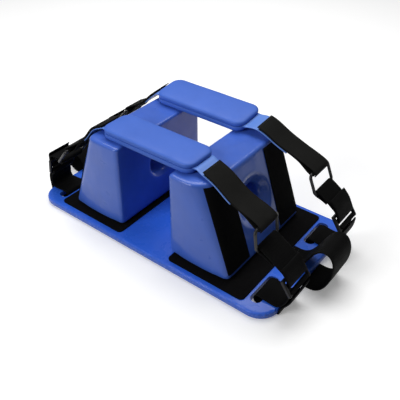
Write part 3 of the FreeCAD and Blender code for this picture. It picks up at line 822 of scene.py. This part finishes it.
def tilt_up(obj):
    """The rear bar lies tilted, its rear edge higher. Its straps level out towards the rings."""
    front_y = PAD_CENTRE_Y["rear"] - PAD_WIDTH / 2
    for vert in obj.data.vertices:
        x, y = vert.co.x / MM, vert.co.y / MM
        side = "right" if x > 0 else "left"
        level_x = CHAINS[side, "rear"]["ring_top"][0] - LEVEL_BEFORE_RING
        fade = (level_x - abs(x)) / (level_x - pad_end_x(side, "rear"))
        across = min(1.0, max(0.0, (y - front_y) / PAD_WIDTH))
        vert.co.z += REAR_TILT * MM * across * min(1.0, max(0.0, fade))


def chain_pieces(side, end):
    """Everything that is woven in one chain of strap, ring and buckle."""
    prefix = side + "_" + end
    slant = slant_for(side, end)
    pad_y = PAD_CENTRE_Y[end]
    ring_y = ENDS[end] * RING_Y
    seed = 3.7 * SIDES[side] + 1.3 * ENDS[end]

    def band(name, points, width, thickness, finish, ripple, seed_step=0, lying=False):
        """A band of this chain: lying ones run from the bar over to the ring's own y."""
        y_centre, over = (pad_y, slant) if lying else (ring_y, None)
        obj = ribbon(prefix + name, points(side, end), width, thickness, y_centre, side,
                     slant=over, ripple=ripple, seed=seed + seed_step)
        give(obj, finish)
        return obj

    lap = band("_lap", lap_points, VINYL_WIDTH, VINYL_THICKNESS, "vinyl", 0.1, lying=True)
    strap = band("_tape", strap_points, STRAP_WIDTH, STRAP_THICKNESS, "strap", 0.12, lying=True)
    flap = band("_tape_end", flap_points, STRAP_WIDTH, STRAP_THICKNESS, "strap", 0.12, lying=True)
    web = band("_ring_web", ring_webbing_points, WEBBING_WIDTH, WEBBING_THICKNESS, "webbing",
               0.25, 5)
    tail = band("_tail", tail_points, WEBBING_WIDTH, BIGHT_THICKNESS, "webbing", 0.1, 9)
    anchor = band("_anchor_web", anchor_points, WEBBING_WIDTH, WEBBING_THICKNESS, "webbing",
                  0.1, 12)
    if end == "rear":
        for obj in (lap, strap, flap):
            tilt_up(obj)
    buckle_body = prefix + "_buckle"
    for obj, node_name, slot, body in (
            (lap, "_vinyl_lap", "pad_vinyl_edge", "base"),
            (strap, "_strap", "strap_tape", "base"),
            (flap, "_flap", "strap_tape", prefix + "_flap"),
            (web, "_ring_webbing", "webbing", "base"),
            (tail, "_webbing_tail", "webbing", buckle_body),
            (anchor, "_anchor_webbing", "webbing", "base")):
        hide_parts(prefix + node_name)
        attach(obj, body)

    edge = STRAP_WIDTH / 2 - 2.5
    top = STRAP_THICKNESS / 2 + STITCH_LIFT
    stitches = sewn(prefix + "_tape_stitches", flap_points(side, end),
                    [(2.5, -edge, 2.5, edge)], top, pad_y, side, prefix + "_flap", slant)
    if end == "rear":
        tilt_up(stitches)
    edge = WEBBING_WIDTH / 2 - 2
    web_top = WEBBING_THICKNESS / 2 + STITCH_LIFT
    length = Spline(ring_webbing_points(side, end)).stations(1.0)[1][-1]
    across_runs = [(length * f, -edge, length * f, edge) for f in WEB_SEAMS]
    sewn(prefix + "_web_stitches", ring_webbing_points(side, end), across_runs, web_top, ring_y,
         side, "base")


def board_strap(side):
    points = board_strap_points(side)
    obj = ribbon(side + "_board_web", points, BOARD_STRAP_WIDTH, BOARD_STRAP_THICKNESS, 0.0, side,
                 ripple=0.3, seed=21.0 + SIDES[side])
    give(obj, "board_strap")
    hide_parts(side + "_board_strap")
    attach(obj, "base")
    edge = BOARD_STRAP_WIDTH / 2 - 3
    runs = [(3.0, -edge, 3.0, edge), (9.0, -edge, 9.0, edge)]
    sewn(side + "_board_stitches", points, runs, BOARD_STRAP_THICKNESS / 2 + STITCH_LIFT, 0.0, side,
         "base")


# ---------------------------------------------------------------- stage

def stage():
    mesh = bpy.data.meshes.new("floor")
    corners = [(-1, -1), (1, -1), (1, 1), (-1, 1)]
    mesh.from_pydata([(x * FLOOR_HALF, y * FLOOR_HALF, FLOOR_Z) for x, y in corners], [],
                     [(0, 1, 2, 3)])
    floor = bpy.data.objects.new("floor", mesh)
    bpy.context.scene.collection.objects.link(floor)
    mat, tree, bsdf = tree_of("floor_white")
    place = add(tree, "ShaderNodeTexCoord").outputs["Object"]
    tree.links.new(blend_colours(tree, noise_value(tree, place, 3.0), (0.96, 0.96, 0.96),
                                 (0.99, 0.99, 0.99)), bsdf.inputs["Base Color"])
    bsdf.inputs["Roughness"].default_value = 0.9
    bsdf.inputs["Specular IOR Level"].default_value = 0.1
    bsdf.inputs["Emission Color"].default_value = (1.0, 1.0, 1.0, 1.0)
    bsdf.inputs["Emission Strength"].default_value = FLOOR_GLOW
    floor.data.materials.append(mat)
    floor.visible_diffuse = False


def area_light(name, place, size, power):
    data = bpy.data.lights.new(name, "AREA")
    data.shape = "RECTANGLE"
    data.size, data.size_y = size
    data.energy = power
    obj = bpy.data.objects.new(name, data)
    obj.location = place
    way = Vector(LIGHT_AIM) - Vector(place)
    obj.rotation_euler = way.to_track_quat("-Z", "Y").to_euler()
    bpy.context.scene.collection.objects.link(obj)


def lights():
    world = bpy.data.worlds.new("studio")
    world.use_nodes = True
    background = world.node_tree.nodes["Background"]
    background.inputs["Color"].default_value = (1.0, 1.0, 1.0, 1.0)
    background.inputs["Strength"].default_value = WORLD_STRENGTH
    bpy.context.scene.world = world
    bpy.context.scene.view_settings.view_transform = "Standard"
    for name, light in LIGHTS.items():
        area_light(name, **light)


def camera():
    azimuth, elevation = math.radians(CAMERA_AZIMUTH), math.radians(CAMERA_ELEVATION)
    target = Vector(CAMERA_TARGET) * MM
    back = Vector((math.sin(azimuth) * math.cos(elevation),
                   -math.cos(azimuth) * math.cos(elevation), math.sin(elevation)))
    data = bpy.data.cameras.new("camera")
    data.lens = CAMERA_LENS
    data.sensor_width = CAMERA_SENSOR
    data.clip_start, data.clip_end = CAMERA_CLIP
    obj = bpy.data.objects.new("camera", data)
    obj.location = target + back * (CAMERA_DISTANCE * MM)
    obj.rotation_mode = "QUATERNION"
    obj.rotation_quaternion = (-back).to_track_quat("-Z", "Y")
    bpy.context.scene.collection.objects.link(obj)
    bpy.context.scene.camera = obj


camera()
stage()
lights()
carried_over()
for side in SIDES:
    soft_block(side)
    board_strap(side)
    for end in ENDS:
        chain_pieces(side, end)
for end in ENDS:
    pad_shell(end, True)
    pad_shell(end, False)
